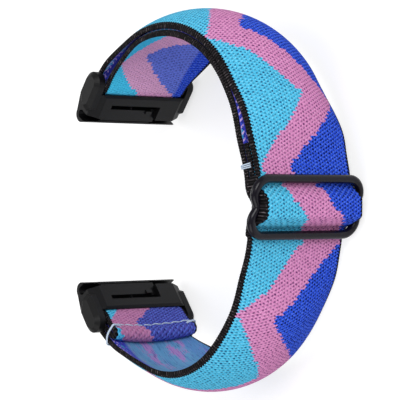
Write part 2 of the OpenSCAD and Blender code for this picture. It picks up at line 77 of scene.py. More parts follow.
# Half the stretch that moves with the buckle, and the places beyond which the webbing stands still
BRIDGE_HALF = 6.1
UPPER_FIXED, LOWER_FIXED = 25.3, -21.2

# The wire and the loop are drawn in a little more where they meet the middle bar
WAIST, FRAME_WAIST_REACH, LOOP_WAIST_REACH = 0.8, 1.5, 2.6

# The loop's line, out from the rearmost point: arcs as (radius, degrees), straights as (0, length)
UPPER = [(44.5, 35), (24.5, 78.5), (0, 9), (14, 25)]
LOWER = [(40, 45), (21, 61.5), (0, 10.5), (24, 22)]


def chain(arcs):
    return [(r, math.radians(a) * r if r else a) for r, a in arcs]


UP, LOW = chain(UPPER), chain(LOWER)
UPPER_END = sum(d for _, d in UP)
LOWER_END = -sum(d for _, d in LOW)


def on_chain(arcs, s):
    x = y = h = 0.0
    for i, (r, length) in enumerate(arcs):
        last = i == len(arcs) - 1
        d = s if last else min(s, length)
        if r:
            a = d / r
            x += r * (math.cos(h + a) - math.cos(h))
            y += r * (math.sin(h + a) - math.sin(h))
            h += a
        else:
            x -= math.sin(h) * d
            y += math.cos(h) * d
        if last or s <= length:
            return x, y, h
        s -= length


def spot(s):
    if s >= 0:
        return on_chain(UP, s)
    x, y, h = on_chain(LOW, -s)
    return x, -y, -h


def outward(s):
    h = spot(s)[2]
    return np.array([math.cos(h), math.sin(h)])


def at(s, off):
    x, y, h = spot(s)
    return np.array([x + off * math.cos(h), y + off * math.sin(h)])


def ease(x):
    return (1 - math.cos(math.pi * min(1.0, max(0.0, x)))) / 2


def eased(keys, s):
    for (k, v), (k2, v2) in zip(keys, keys[1:]):
        if s <= k:
            return v
        if s < k2:
            return v + (v2 - v) * ease((s - k) / (k2 - k))
    return keys[-1][1]


RAIL_OVER, RAIL_UNDER = BUCKLE_AT + RAIL_PITCH, BUCKLE_AT - RAIL_PITCH
RETURN_END = BUCKLE_AT + RETURN_LEN
BAR_R = STRAP_BAR_D / 2 + GAP
MIDDLE_R = MIDDLE_D / 2 + GAP
MIDDLE_OFF = 2.3
OVER_BAR = MIDDLE_OFF + MIDDLE_R + STRAP_T + GAP
OVER_DOUBLE = STRAP_T + 2 * GAP

# Heights and distances of the steps that the layers make: held flat under a rail, raised over the
# bar, eased down beyond the rails, thinned out past the sewn return and dropped before the ends
STACK_IN, HOLD = -0.4, 0.7
BAR_TOP, STEP_OFF, THIN_OUT = 1.3, 7, 15
OUTER_DROP, INNER_DROP, FLAP_START = 9, 18, 0.1
PRESS_OVER = OVER_DOUBLE - STACK_IN
RAIL_OVER_OFF = PRESS_OVER + STRAP_T + SLIDE_GAP + RAIL_D / 2
RAIL_UNDER_OFF = STRAP_T + SLIDE_GAP + RAIL_D / 2

# How far each layer lies off the line: (place along the line, height of the face nearest to it)
OUTER_KEYS = [
    (RAIL_UNDER - STEP_OFF, 0),
    (RAIL_UNDER + HOLD, 0),
    (BUCKLE_AT - BAR_TOP, OVER_BAR),
    (BUCKLE_AT + BAR_TOP, OVER_BAR),
    (RAIL_OVER - HOLD, PRESS_OVER),
    (RAIL_OVER + STEP_OFF, OVER_DOUBLE),
    (RETURN_END, OVER_DOUBLE),
    (RETURN_END + THIN_OUT, GAP),
    (UPPER_END - OUTER_DROP, GAP),
    (UPPER_END, 0),
]
INNER_KEYS = [
    (BUCKLE_AT, MIDDLE_OFF - MIDDLE_R),
    (RAIL_OVER - HOLD, -STACK_IN),
    (RAIL_OVER + STEP_OFF, 0),
    (UPPER_END - INNER_DROP, 0),
    (UPPER_END, -2 * BAR_R),
]
RETURN_KEYS = [
    (BUCKLE_AT, MIDDLE_OFF + MIDDLE_R),
    (RAIL_OVER - HOLD, GAP - STACK_IN),
    (RAIL_OVER + STEP_OFF, GAP),
]
FLAP_KEYS = [
    (LOWER_END + FLAP_START, -2 * BAR_R),
    (LOWER_END + FLAP_LEN - TUCK_LEN, -STRAP_T - 2 * GAP),
]
TUCK_OFF = -GAP - STRAP_T / 2


def outer_off(s):
    return eased(OUTER_KEYS, s) + STRAP_T / 2


def inner_off(s):
    return eased(INNER_KEYS, s) - STRAP_T / 2


def return_off(s):
    return eased(RETURN_KEYS, s) + STRAP_T / 2


def flap_off(s):
    return eased(FLAP_KEYS, s) - STRAP_T / 2


def to_end(s):
    return min(UPPER_END - s, s - LOWER_END)


def crown(s):
    from_buckle = abs(s - BUCKLE_AT) - CROWN_START
    return CROWN_H * ease(from_buckle / (CROWN_FULL - CROWN_START)) * ease(to_end(s) / CROWN_END)


def half_w(s):
    c = crown(s)
    near_buckle = SQUEEZE_REACH - abs(s - BUCKLE_AT) / (RAIL_PITCH + RAIL_D)
    return (STRAP_W / 2 - 4 * c * c / (3 * STRAP_W)
            - END_SQUEEZE * ease(1 - to_end(s) / SQUEEZE_END) - EDGE_SQUEEZE * ease(near_buckle))


# Distance along the webbing itself, from the lower hem to the end at the buckle, and the stripe's
# phase there: whole numbers where the stripe touches the near edge, halves where it is nearest
# the far one
FOLD_LEN = math.pi * (BAR_R + STRAP_T / 2)
LOOP_LEN = math.pi * (MIDDLE_R + STRAP_T / 2)
STRIPE_KEYS = [
    (-112, -4), (-97, -3.5), (-83, -3), (-71, -2.5), (-53.5, -2), (-36.4, -1.5),
    (-22.1, -1), (-7.3, -0.5), (-4.8, -0.47), (0.1, -0.25), (3.6, -0.21), (5, -0.06),
    (6.7, 0), (20.4, 0.5), (36.9, 1), (50.8, 1.5), (64, 2), (77.2, 2.5), (91.4, 3),
    (96.1, 3.32), (102, 3.5), (117, 4), (131.5, 4.5), (146, 5), (160.5, 5.5), (178, 6),
]


def inner_u(s):
    return UPPER_END + FOLD_LEN + UPPER_END - s


# Between the rails the webbing spreads, and its edges roll in over the loop below
SPREAD, SPREAD_OVER, ROLL = 0.62, 0.8, 2.3


def in_window(s):
    return ease((BRIDGE_HALF - abs(s - BUCKLE_AT)) / SPREAD_OVER)


# Stations: centre, direction of the patterned face, direction and height of the crown, half width,
# distance u and how far the edges roll in
STEP, BEND_STEPS = 0.1375, 30


def run(s0, s1, off, face, u_of, window=False):
    n = max(2, math.ceil(abs(s1 - s0) / STEP))
    rows = []
    for i in range(n + 1):
        s = s0 + (s1 - s0) * i / n
        o = outward(s)
        open_part = in_window(s) if window else 0.0
        roll = open_part * min(ROLL, off(s) - STRAP_T / 2)
        wide = half_w(s) + SPREAD * open_part
        rows.append((at(s, off(s)), face * o, crown(s) * o, wide, u_of(s), roll))
    return rows


def bend(centre, r, a0, a1, wide, u0, u1, bulge=(0, 0)):
    rows = []
    for i in range(BEND_STEPS + 1):
        a = a0 + (a1 - a0) * i / BEND_STEPS
        d = np.array([math.cos(a), math.sin(a)])
        u = u0 + (u1 - u0) * i / BEND_STEPS
        rows.append((centre + r * d, d, np.array(bulge), wide, u, 0.0))
    return rows


def angle(v):
    return math.atan2(v[1], v[0])


# Cross-section of the webbing: flat faces, and round bound edges that carry the ribs. Its points are
# (kind, place across, reach into the edge, place through the thickness, share of the rib)
EDGE_R, EDGE_THIN, EDGE_POWER = 0.36, 0.22, 0.75
FACE_N, BACK_N, EDGE_N = 26, 14, 10
RIB_PITCH, RIB_H, RIB_POWER, RIB_SINK = 0.6, 0.1, 0.7, 0.35
THIN_POWER = 6


def edge_points(side):
    points = []
    for i in range(1, EDGE_N):
        a = math.pi / 2 - math.pi * i / EDGE_N
        reach = abs(math.cos(a)) ** EDGE_POWER
        through = math.copysign(abs(math.sin(a)) ** EDGE_POWER, math.sin(a))
        points.append(("edge", side, reach, side * through, math.sin(math.pi * i / EDGE_N)))
    return points


def section():
    face = [("face", 2 * i / FACE_N - 1, 0.0, 1.0, 0.0) for i in range(FACE_N + 1)]
    back = [("back", 1 - 2 * i / BACK_N, 0.0, -1.0, 0.0) for i in range(BACK_N + 1)]
    return face + edge_points(1.0) + back + edge_points(-1.0)


SECTION = section()


def make_mesh(name, verts, faces, mats, face_mats=None, uvs=None):
    mesh = bpy.data.meshes.new(name)
    mesh.from_pydata([tuple(v) for v in verts], [], [tuple(f) for f in faces])
    for m in mats:
        mesh.materials.append(m)
    if face_mats is not None:
        mesh.polygons.foreach_set("material_index", np.asarray(face_mats, np.int32))
    mesh.polygons.foreach_set("use_smooth", np.full(len(faces), True))
    for layer, values in (uvs or {}).items():
        uv = mesh.uv_layers.new(name=layer)
        uv.data.foreach_set("uv", np.asarray(values, np.float32).ravel())
    mesh.update()
    obj = bpy.data.objects.new(name, mesh)
    bpy.context.scene.collection.objects.link(obj)
    return obj


# Where the back begins to follow the rolled edges, as a share of the half width
ROLL_FROM, ROLL_OVER = 0.7, 0.3


def webbing(name, rows, mats):
    k = len(SECTION)
    sign, reach, thick, fade = (np.array([q[i] for q in SECTION]) for i in range(1, 5))
    centre, face, rise, wide, u, roll = (np.array([q[i] for q in rows]) for i in range(6))
    under = np.clip((np.abs(sign) - ROLL_FROM) / ROLL_OVER, 0, 1) ** 2
    hang = np.where(reach > 0, (1 - thick) / 2, np.where(thick < 0, under, 0))
    rib = RIB_H * (np.abs(np.sin(math.pi * u / RIB_PITCH)) ** RIB_POWER - RIB_SINK)
    z = sign[None, :] * (wide[:, None] - EDGE_R)
    z = z + np.sign(sign)[None, :] * reach[None, :] * (EDGE_R + rib[:, None] * fade[None, :])
    body = STRAP_T / 2 * (1 - EDGE_THIN * np.abs(sign) ** THIN_POWER)
    n = thick[None, :] * (body[None, :] + rib[:, None] * fade[None, :])
    n = n - roll[:, None] * hang[None, :]
    arch = 1 - (z / wide[:, None]) ** 2
    xy = centre[:, None, :] + face[:, None, :] * n[:, :, None] + rise[:, None, :] * arch[:, :, None]
    pts = np.concatenate([xy, z[:, :, None]], 2).reshape(-1, 3) - ORIGIN
    phase = np.interp(u, [q[0] for q in STRIPE_KEYS], [q[1] for q in STRIPE_KEYS])
    d = centre[1] - centre[0]
    back = d[0] * face[0][1] - d[1] * face[0][0] < 0
    faces, kinds, loops = [], [], []
    index = {"face": 0, "edge": 1, "back": 2}
    for i in range(len(rows) - 1):
        for j in range(k):
            j2 = (j + 1) % k
            a, b = SECTION[j][0], SECTION[j2][0]
            kind = a if a == b else "edge"
            quad = [i * k + j, (i + 1) * k + j, (i + 1) * k + j2, i * k + j2]
            who = [(i, j), (i + 1, j), (i + 1, j2), (i, j2)]
            if back:
                quad.reverse()
                who.reverse()
            faces.append(quad)
            kinds.append(index[kind])
            loops.extend(who)
    for i in (0, len(rows) - 1):
        ring = [i * k + j for j in range(k)]
        who = [(i, j) for j in range(k)]
        if (i == 0) == back:
            ring.reverse()
            who.reverse()
        faces.append(ring)
        kinds.append(index["back"])
        loops.extend(who)
    who = np.array(loops)
    cloth = np.stack([u[who[:, 0]], z[who[:, 0], who[:, 1]]], 1)
    stripe = np.stack([phase[who[:, 0]], who[:, 1] / k], 1)
    return make_mesh(name, pts * MM, faces, mats, kinds, {"cloth": cloth, "stripe": stripe})


# Round rods and threads through points, closed, with round ends or with flat ones
CAP_ANGLES = (25, 50, 72, 86)


def rod(name, path, radius, mat, sides, closed=False, tip=True):
    path = np.asarray(path, float)
    n = len(path)
    radii = np.full(n, float(radius))
    if closed:
        tangent = np.roll(path, -1, 0) - np.roll(path, 1, 0)
    else:
        tangent = np.gradient(path, axis=0)
    tangent /= np.linalg.norm(tangent, axis=1)[:, None]
    if not closed and tip:
        caps = []
        for side in (0, -1):
            p, t, r = path[side], tangent[side] * (-1 if side == 0 else 1), radii[side]
            angles = [math.radians(a) for a in CAP_ANGLES]
            caps.append([(p + t * r * math.sin(a), tangent[side], r * math.cos(a)) for a in angles])
        head, tail = caps[0][::-1], caps[1]
        path = np.array([q[0] for q in head] + list(path) + [q[0] for q in tail])
        tangent = np.array([q[1] for q in head] + list(tangent) + [q[1] for q in tail])
        radii = np.array([q[2] for q in head] + list(radii) + [q[2] for q in tail])
        n = len(path)
    ref = np.array([0.0, 0.0, 1.0]) if abs(tangent[0][2]) < 0.9 else np.array([1.0, 0.0, 0.0])
    side = np.cross(tangent[0], ref)
    side /= np.linalg.norm(side)
    verts, lengths, total = [], [], 0.0
    for i in range(n):
        side = side - tangent[i] * side.dot(tangent[i])
        side /= np.linalg.norm(side)
        other = np.cross(tangent[i], side)
        total += np.linalg.norm(path[i] - path[i - 1]) if i else 0.0
        lengths.append(total)
        for j in range(sides):
            a = 2 * math.pi * j / sides
            verts.append(path[i] + radii[i] * (math.cos(a) * side + math.sin(a) * other))
    faces, uv = [], []
    for i in range(n if closed else n - 1):
        k = (i + 1) % n
        for j in range(sides):
            j2 = (j + 1) % sides
            faces.append([i * sides + j, i * sides + j2, k * sides + j2, k * sides + j])
            u0, u1 = lengths[i], lengths[i + 1] if i + 1 < n else lengths[i] + 1
            uv += [(u0, j / sides), (u0, (j + 1) / sides), (u1, (j + 1) / sides), (u1, j / sides)]
    if not closed:
        faces.append(list(range(sides))[::-1])
        faces.append([(n - 1) * sides + j for j in range(sides)])
        uv += [(0, 0)] * sides + [(total, 0)] * sides
    return make_mesh(name, (np.array(verts) - ORIGIN) * MM, faces, [mat], uvs={"cloth": uv})


def joined(name, parts):
    for o in bpy.context.selected_objects:
        o.select_set(False)
    chosen = {"selected_objects": parts, "selected_editable_objects": parts}
    with bpy.context.temp_override(active_object=parts[0], **chosen):
        bpy.ops.object.join()
    parts[0].name = name
    return parts[0]


# Small arithmetic on shader sockets
class Net:
    def __init__(self, name):
        self.mat = bpy.data.materials.new(name)
        self.mat.use_nodes = True
        self.tree = self.mat.node_tree
        self.tree.nodes.clear()
        self.out = self.tree.nodes.new("ShaderNodeOutputMaterial")
        self.shader = self.tree.nodes.new("ShaderNodeBsdfPrincipled")
        self.tree.links.new(self.shader.outputs[0], self.out.inputs[0])

    def node(self, kind, **values):
        node = self.tree.nodes.new(kind)
        for key, value in values.items():
            if key in node.inputs:
                self.put(node.inputs[key], value)
            else:
                setattr(node, key, value)
        return node

    def put(self, socket, value):
        if isinstance(value, Num):
            value = value.socket
        if isinstance(value, bpy.types.NodeSocket):
            self.tree.links.new(value, socket)
        elif isinstance(value, (tuple, list)) and len(value) == 3 and socket.type == "RGBA":
            socket.default_value = (*value, 1)
        else:
            socket.default_value = value

    def set(self, **values):
        for key, value in values.items():
            self.put(self.shader.inputs[key.replace("_", " ")], value)

    def math(self, op, a, b=0.0):
        node = self.tree.nodes.new("ShaderNodeMath")
        node.operation = op
        for socket, value in zip(node.inputs, (a, b)):
            self.put(socket, value)
        return Num(self, node.outputs[0])

    def mix(self, factor, a, b):
        node = self.tree.nodes.new("ShaderNodeMix")
        node.data_type = "RGBA"
        self.put(node.inputs["Factor"], factor)
        self.put(node.inputs[6], a)
        self.put(node.inputs[7], b)
        return node.outputs[2]

    def uv(self, layer):
        node = self.node("ShaderNodeUVMap", uv_map=layer)
        split = self.tree.nodes.new("ShaderNodeSeparateXYZ")
        self.tree.links.new(node.outputs[0], split.inputs[0])
        return Num(self, split.outputs[0]), Num(self, split.outputs[1])

    def vector(self, x, y, z=0.0):
        node = self.tree.nodes.new("ShaderNodeCombineXYZ")
        for socket, value in zip(node.inputs, (x, y, z)):
            self.put(socket, value)
        return node.outputs[0]

    def noise(self, vector, scale=1.0, detail=2.0, rough=0.5):
        node = self.node("ShaderNodeTexNoise", Vector=vector, Scale=scale, Detail=detail, Roughness=rough)
        return Num(self, node.outputs[0])

    def chance(self, vector):
        node = self.node("ShaderNodeTexWhiteNoise", Vector=vector)
        return Num(self, node.outputs[0])

    def place(self):
        return self.tree.nodes.new("ShaderNodeTexCoord").outputs["Object"]

    # distance in metres
    def bump(self, height, distance, strength):
        node = self.node("ShaderNodeBump", Height=height, Distance=distance, Strength=strength)
        self.tree.links.new(node.outputs[0], self.shader.inputs["Normal"])


class Num:
    def __init__(self, net, socket):
        self.net, self.socket = net, socket

    def __add__(self, other):
        return self.net.math("ADD", self, other)

    def __sub__(self, other):
        return self.net.math("SUBTRACT", self, other)

    def __rsub__(self, other):
        return self.net.math("SUBTRACT", other, self)

    def __mul__(self, other):
        return self.net.math("MULTIPLY", self, other)

    def __truediv__(self, other):
        return self.net.math("DIVIDE", self, other)

    __radd__ = __add__

    def floor(self):
        return self.net.math("FLOOR", self)

    def fract(self):
        return self.net.math("FRACT", self)

    def abs(self):
        return self.net.math("ABSOLUTE", self)

    def sin(self):
        return self.net.math("SINE", self)

    def power(self, e):
        return self.net.math("POWER", self, e)

    def over(self, other):
        return self.net.math("GREATER_THAN", self, other)

    def most(self, other):
        return self.net.math("MAXIMUM", self, other)

    def ramp(self, low, high):
        node = self.net.node("ShaderNodeMapRange")
        node.interpolation_type = "SMOOTHSTEP"
        self.net.put(node.inputs["Value"], self)
        node.inputs["From Min"].default_value = low
        node.inputs["From Max"].default_value = high
        return Num(self.net, node.outputs[0])


def rgb(code):
    parts = [int(code[i:i + 2], 16) / 255 for i in (0, 2, 4)]
    return tuple(c / 12.92 if c <= 0.04045 else ((c + 0.055) / 1.055) ** 2.4 for c in parts)


# Patterned face of the webbing: knit stitches and the stepped zigzag. The stripe's two borders swing
# between a near and a far place across. Over the inner layer and the flap the colours are changed
# by painted light and painted shade
KNIT_ACROSS, KNIT_ALONG = 0.76, 0.7
STRIPE_STEP = 0.031
PINK_NEAR, PINK_FAR = 12.0, -1.5
BLUE_NEAR, BLUE_FAR = 4.2, -12.2
INNER_LAYER_U, FLAP_LAYER_U, SHADED_BLUE_EDGE = (79, 83), (76, 79), 8.3
EYE_SIZE, EYE_VARIES, EYE_SWAY, EYE_TILT = 0.28, 0.15, 0.34, 1.2
BINDING = "08070A"


def face_material():
    m = Net("webbing_face")
    u, v = m.uv("cloth")
    p, side = m.uv("stripe")
    col = (v / KNIT_ACROSS).floor()
    inner, flap = u.ramp(*INNER_LAYER_U), (0 - u).ramp(*FLAP_LAYER_U)
    # the stripe's borders step from stitch to stitch
    course = (u * (2 * math.pi / KNIT_ALONG)).sin()
    bulge = course * (0.2 - inner * 0.14)
    vq = (((v + bulge) / KNIT_ACROSS).floor() + 0.5) * KNIT_ACROSS
    pq = ((p / STRIPE_STEP).floor() + 0.5) * STRIPE_STEP
    wave = 1 - ((pq.fract() * 2) - 1).abs()
    near = vq.over(PINK_NEAR - wave * (PINK_NEAR - PINK_FAR))
    far = (BLUE_NEAR - wave * (BLUE_NEAR - BLUE_FAR)).over(vq)
    sky = m.mix(m.noise(m.vector(u * 0.5, v * 0.5), 1.0), rgb("3EB0DC"), rgb("52C0E6"))
    pink = m.mix(m.noise(m.vector(u * 0.5 + 9, v * 0.5), 1.0), rgb("C87CB0"), rgb("D88CBE"))
    blue = m.mix(m.noise(m.vector(u * 0.9 + 5, v * 0.9), 1.0), rgb("1A3CC6"), rgb("2C56DC"))
    # over the inner layer the blue is painted duller and greyer, except in a band by the far edge, and
    # over the flap darker: painted shade
    shaded_blue = m.mix((v + SHADED_BLUE_EDGE).ramp(-0.3, 0.3), rgb("2446CC"), rgb("6C7AD8"))
    blue = m.mix(inner, blue, shaded_blue)
    blue = m.mix(flap, blue, rgb("4E50A8"))
    tone = m.mix(near, pink, sky)
    tone = m.mix(far, tone, blue)
    # stitches in half-drop rows, painted shade in each round eye, deeper in some eyes than in others
    fv = (v / KNIT_ACROSS).fract() - 0.5
    row = u / KNIT_ALONG + col * 0.5
    fu = row.fract() - 0.5
    cell = row.floor()
    luck = m.chance(m.vector(cell, col))
    sway = (m.chance(m.vector(cell, col, 3.0)) - 0.5) * EYE_SWAY
    size = m.chance(m.vector(cell, col, 6.0)) * EYE_VARIES + EYE_SIZE
    tilt = (m.chance(m.vector(cell, col, 9.0)) - 0.5) * EYE_TILT
    reach_v = (fv + sway + fu * tilt) / (size * 1.15)
    reach_u = (fu - sway * 0.7) / size
    eye = 1 - (reach_u * reach_u + reach_v * reach_v).power(0.5).ramp(0.3, 1.0)
    strand = ((row + fv * 0.9) * (2 * math.pi)).sin() * 0.5 + 0.5
    loops = m.noise(m.vector(u * 2.6, v * 2.6), 1.0, 3.0)
    eye_shade = m.mix(near, rgb("5C2060"), rgb("083C70"))
    eye_shade = m.mix(far, eye_shade, rgb("040A48"))
    light = m.mix(near, rgb("EEB2DC"), rgb("90E6FF"))
    light = m.mix(far, light, rgb("6E96FF"))
    # painted highlights along the strands between the eyes
    tone = m.mix((strand * loops).ramp(0.26, 0.58) * 0.6, tone, light)
    shade_depth = (luck * 0.6 + 0.4 + far * 0.3) * (1 - inner * 0.65) * (1 - flap * 0.4)
    tone = m.mix(eye * shade_depth, tone, eye_shade)
    # over the inner layer the pink is painted paler and the turquoise brighter: painted light; over the
    # flap the pink is painted darker: painted shade
    tone = m.mix(inner * (1 - near) * (1 - far) * 0.32, tone, rgb("FFD8EE"))
    tone = m.mix(inner * near * 0.6, tone, rgb("3CD2F8"))
    tone = m.mix(flap * (1 - near) * (1 - far) * 0.3, tone, rgb("8C6070"))
    # the black binding bites into the stitches along both edges
    rim = (1 - (side * (2 * len(SECTION) / FACE_N) - 1).abs()) * (STRAP_W / 2)
    tooth = course * 0.5 + 0.5
    tone = m.mix(rim.over(tooth * 0.3 + 0.12), rgb(BINDING), tone)
    m.set(Base_Color=tone, Roughness=0.85)
    m.shader.inputs["Specular IOR Level"].default_value = 0.06
    m.bump((1 - eye) * 0.8 + strand * 0.2 + loops * 0.25, 0.00016, 0.9)
    return m.mat


def edge_material():
    m = Net("webbing_edge")
    u, v = m.uv("cloth")
    crest = (u * (math.pi / RIB_PITCH)).sin().abs().ramp(0.45, 0.95)
    fibre = m.noise(m.vector(u * 7, v * 5), 1.0, 3.0)
    glint = m.noise(m.vector(u * 5 + 4, v * 7), 1.0, 2.0).ramp(0.56, 0.66)
    each = m.chance(m.vector((u / RIB_PITCH + 0.5).floor(), 2.0))
    lit = crest * (fibre.ramp(0.3, 0.7) * 0.6 + 0.2) * (each * 0.8 + 0.2)
    tone = m.mix(lit, rgb("020203"), rgb("343034"))
    tone = m.mix(crest * glint * 0.6, tone, rgb("847A7E"))
    m.set(Base_Color=tone, Roughness=0.8)
    m.shader.inputs["Specular IOR Level"].default_value = 0.1
    m.bump(fibre, 0.00006, 0.5)
    return m.mat


def back_material():
    m = Net("webbing_back")
    u, v = m.uv("cloth")
    _, side = m.uv("stripe")
    across = 1 - (side * len(SECTION) - (FACE_N + EDGE_N)) * (2 / BACK_N)
    rim = (1 - across.abs()) * (STRAP_W / 2)
    # floats of every colour lie along the back: bright beside the edges, duller in the middle
    fine = m.noise(m.vector(u * 0.55, v * 4.6), 1.0, 3.0, 0.6)
    streak = m.noise(m.vector(u * 0.3 + 7, v * 3.0), 1.0, 2.0)
    patch = m.noise(m.vector(u * 0.16, v * 0.3 + 3), 1.0, 2.0, 0.6)
    mottle = m.noise(m.vector(u * 2.4, v * 2.4), 1.0, 2.0)
    tone = m.mix(patch, rgb("4A90BA"), rgb("7AA8D0"))
    tone = m.mix((patch + mottle * 0.35).ramp(0.71, 0.8), tone, rgb("A884C0"))
    tone = m.mix(streak.ramp(0.56, 0.64) * 0.6, tone, rgb("5468B4"))
    tone = m.mix(fine.ramp(0.42, 0.34) * 0.8, tone, rgb("324474"))
    beside = (4.0 + mottle * 2.2 - rim).ramp(0.0, 1.6) * (v.ramp(-2.0, 0.0) * 0.8 + 0.2)
    bright = m.mix(streak.ramp(0.38, 0.6), rgb("1C14A0"), rgb("4630C4"))
    bright = m.mix(mottle.ramp(0.52, 0.6) * 0.8, bright, rgb("2A50D0"))
    bright = m.mix((patch + mottle * 0.2).ramp(0.66, 0.7), bright, rgb("2C9CC8"))
    tone = m.mix(beside * 0.92, tone, bright)
    # two rows of pale slanted dashes run beside the near edge
    along, aslant = u * 1.45, rim * 1.3
    first = ((along + aslant) * math.pi).sin().ramp(0.3, 0.7)
    first = first * (0.38 - (rim - 0.55).abs()).ramp(0.0, 0.16)
    second = ((along - aslant) * math.pi).sin().ramp(0.3, 0.7)
    second = second * (0.32 - (rim - 1.4).abs()).ramp(0.0, 0.16)
    dash = first.most(second) * (streak + mottle * 0.4).ramp(0.48, 0.6) * v.over(0.0)
    tone = m.mix(dash * 0.9, tone, rgb("DCBCEC"))
    tone = m.mix(fine.ramp(0.6, 0.68) * (beside * 0.7 + 0.1), tone, rgb("C8B4EC"))
    tone = m.mix((0.22 - rim).ramp(0.0, 0.1), tone, rgb(BINDING))
    m.set(Base_Color=tone, Roughness=0.8)
    m.shader.inputs["Specular IOR Level"].default_value = 0.12
    m.shader.inputs["Sheen Weight"].default_value = 0.05
    m.bump(fine, 0.00012, 0.7)
    return m.mat


def thread_material():
    m = Net("white_thread")
    u, v = m.uv("cloth")
    # the white thread is painted blue-grey in the grooves of its twist: painted shade
    twist = ((u * 2.2 + v * 2) * math.pi).sin().abs()
    tone = m.mix(twist.ramp(0.0, 0.6), rgb("8498B8"), rgb("C8D6E6"))
    m.set(Base_Color=tone, Roughness=0.6)
    m.shader.inputs["Specular IOR Level"].default_value = 0.2
    m.bump(twist, 0.00005, 0.6)
    return m.mat


def plastic_material():
    m = Net("adapter_black")
    where = m.place()
    grain = m.noise(where, 2600.0, 3.0)
    wear = m.noise(where, 180.0, 2.0)
    tone = m.mix(wear, rgb("070708"), rgb("0C0C0D"))
    m.set(Base_Color=tone, Roughness=grain * 0.12 + 0.42)
    m.shader.inputs["Specular IOR Level"].default_value = 0.2
    m.bump(grain, 0.00002, 0.5)
    return m.mat


def paint_material():
    m = Net("buckle_paint")
    where = m.place()
    grain = m.noise(where, 900.0, 2.0)
    tone = m.mix(grain, rgb("08060E"), rgb("100C18"))
    m.set(Base_Color=tone, Roughness=grain * 0.08 + 0.24)
    m.shader.inputs["Specular IOR Level"].default_value = 0.14
    m.shader.inputs["Coat Weight"].default_value = 0.15
    m.shader.inputs["Coat Roughness"].default_value = 0.06
    m.bump(grain, 0.00003, 0.4)
    return m.mat


def steel_material(name, low, high):
    m = Net(name)
    where = m.node("ShaderNodeMapping", Vector=m.place())
    where.inputs["Scale"].default_value = (4000, 4000, 120)
    lines = m.noise(where.outputs[0], 1.0, 2.0)
    m.set(Base_Color=m.mix(lines, rgb(low), rgb(high)), Roughness=lines * 0.15 + 0.22)
    m.shader.inputs["Metallic"].default_value = 1.0
    return m.mat


face_mat, edge_mat, back_mat = face_material(), edge_material(), back_material()
thread_mat, plastic, paint = thread_material(), plastic_material(), paint_material()
steel = steel_material("brushed_steel", "A4A6A8", "C8CACC")
# the springs' steel is painted nearly black: painted shade for the dark inside the latch slots
spring_in_shade = steel_material("spring_steel_painted_dark", "1C1C1E", "2A2A2C")
cloth = [face_mat, edge_mat, back_mat]


# Webbing, piece by piece. Along the outer layer the distance u is the place along the line itself
def same(s):
    return s


upper_bar = at(UPPER_END, -BAR_R)
lower_bar = at(LOWER_END, -BAR_R)
middle_bar = at(BUCKLE_AT, MIDDLE_OFF)
up_a, low_a, mid_a = (angle(outward(s)) for s in (UPPER_END, LOWER_END, BUCKLE_AT))
fold_r, loop_r = BAR_R + STRAP_T / 2, MIDDLE_R + STRAP_T / 2

bridge_top, bridge_foot = BUCKLE_AT + BRIDGE_HALF, BUCKLE_AT - BRIDGE_HALF

pieces = {
    "strap_outer_upper": run(UPPER_FIXED, UPPER_END, outer_off, 1, same),
    "strap_outer_above_buckle": run(bridge_top, UPPER_FIXED, outer_off, 1, same),
    "strap_bridge": run(bridge_foot, bridge_top, outer_off, 1, same, window=True),
    "strap_outer_below_buckle": run(LOWER_FIXED, bridge_foot, outer_off, 1, same),
    "strap_outer_lower": run(LOWER_END, LOWER_FIXED, outer_off, 1, same),
    "strap_upper_fold": bend(upper_bar, fold_r, up_a, up_a + math.pi, half_w(UPPER_END),
                             UPPER_END, UPPER_END + FOLD_LEN),
    "strap_lower_fold": bend(lower_bar, fold_r, low_a, low_a - math.pi, half_w(LOWER_END),
                             LOWER_END, LOWER_END - FOLD_LEN),
    "strap_inner_layer": run(UPPER_END, UPPER_FIXED, inner_off, -1, inner_u),
    "strap_inner_above_buckle": run(UPPER_FIXED, RETURN_END, inner_off, -1, inner_u),
}
loop_u = inner_u(BUCKLE_AT)
loop_rows = (
    run(RETURN_END, BUCKLE_AT, inner_off, -1, inner_u)
    + bend(middle_bar, loop_r, mid_a - math.pi, mid_a, half_w(BUCKLE_AT),
           loop_u, loop_u + LOOP_LEN)[1:-1]
    + run(BUCKLE_AT, RETURN_END, return_off, 1, lambda s: loop_u + LOOP_LEN + s - BUCKLE_AT)
)


# The loop is drawn in where it wraps the bar
def drawn_in(row):
    away = np.linalg.norm(row[0] - middle_bar)
    return (*row[:3], row[3] - WAIST * math.exp(-(away / LOOP_WAIST_REACH) ** 4), *row[4:])


pieces["strap_buckle_loop"] = [drawn_in(row) for row in loop_rows]
hem_s = LOWER_END + FLAP_LEN - STRAP_T
hem_r = (TUCK_OFF - flap_off(hem_s)) / 2
hem_mid = (at(hem_s, flap_off(hem_s)) + at(hem_s, TUCK_OFF)) / 2
hem_a = angle(outward(hem_s))
flap_u0 = LOWER_END - FOLD_LEN
hem_u = flap_u0 - (hem_s - LOWER_END)
tuck_u = hem_u - math.pi * hem_r
pieces["strap_lower_flap"] = (
    run(LOWER_END, hem_s, flap_off, -1, lambda s: flap_u0 - (s - LOWER_END))
    + bend(hem_mid, hem_r, hem_a + math.pi, hem_a, half_w(hem_s), hem_u, tuck_u,
           crown(hem_s) * outward(hem_s))[1:-1]
    + run(hem_s, hem_s - TUCK_LEN, lambda s: TUCK_OFF, 1, lambda s: tuck_u - (hem_s - s))
)

# Stretches beside the buckle, each from its fixed end to its moving one
stretching = {
    "strap_outer_above_buckle": (UPPER_FIXED, bridge_top),
    "strap_outer_below_buckle": (LOWER_FIXED, bridge_foot),
    "strap_inner_above_buckle": (UPPER_FIXED, RETURN_END),
}


def on_line(s):
    return tuple((np.array([*at(s, 0), 0]) - ORIGIN) * MM)


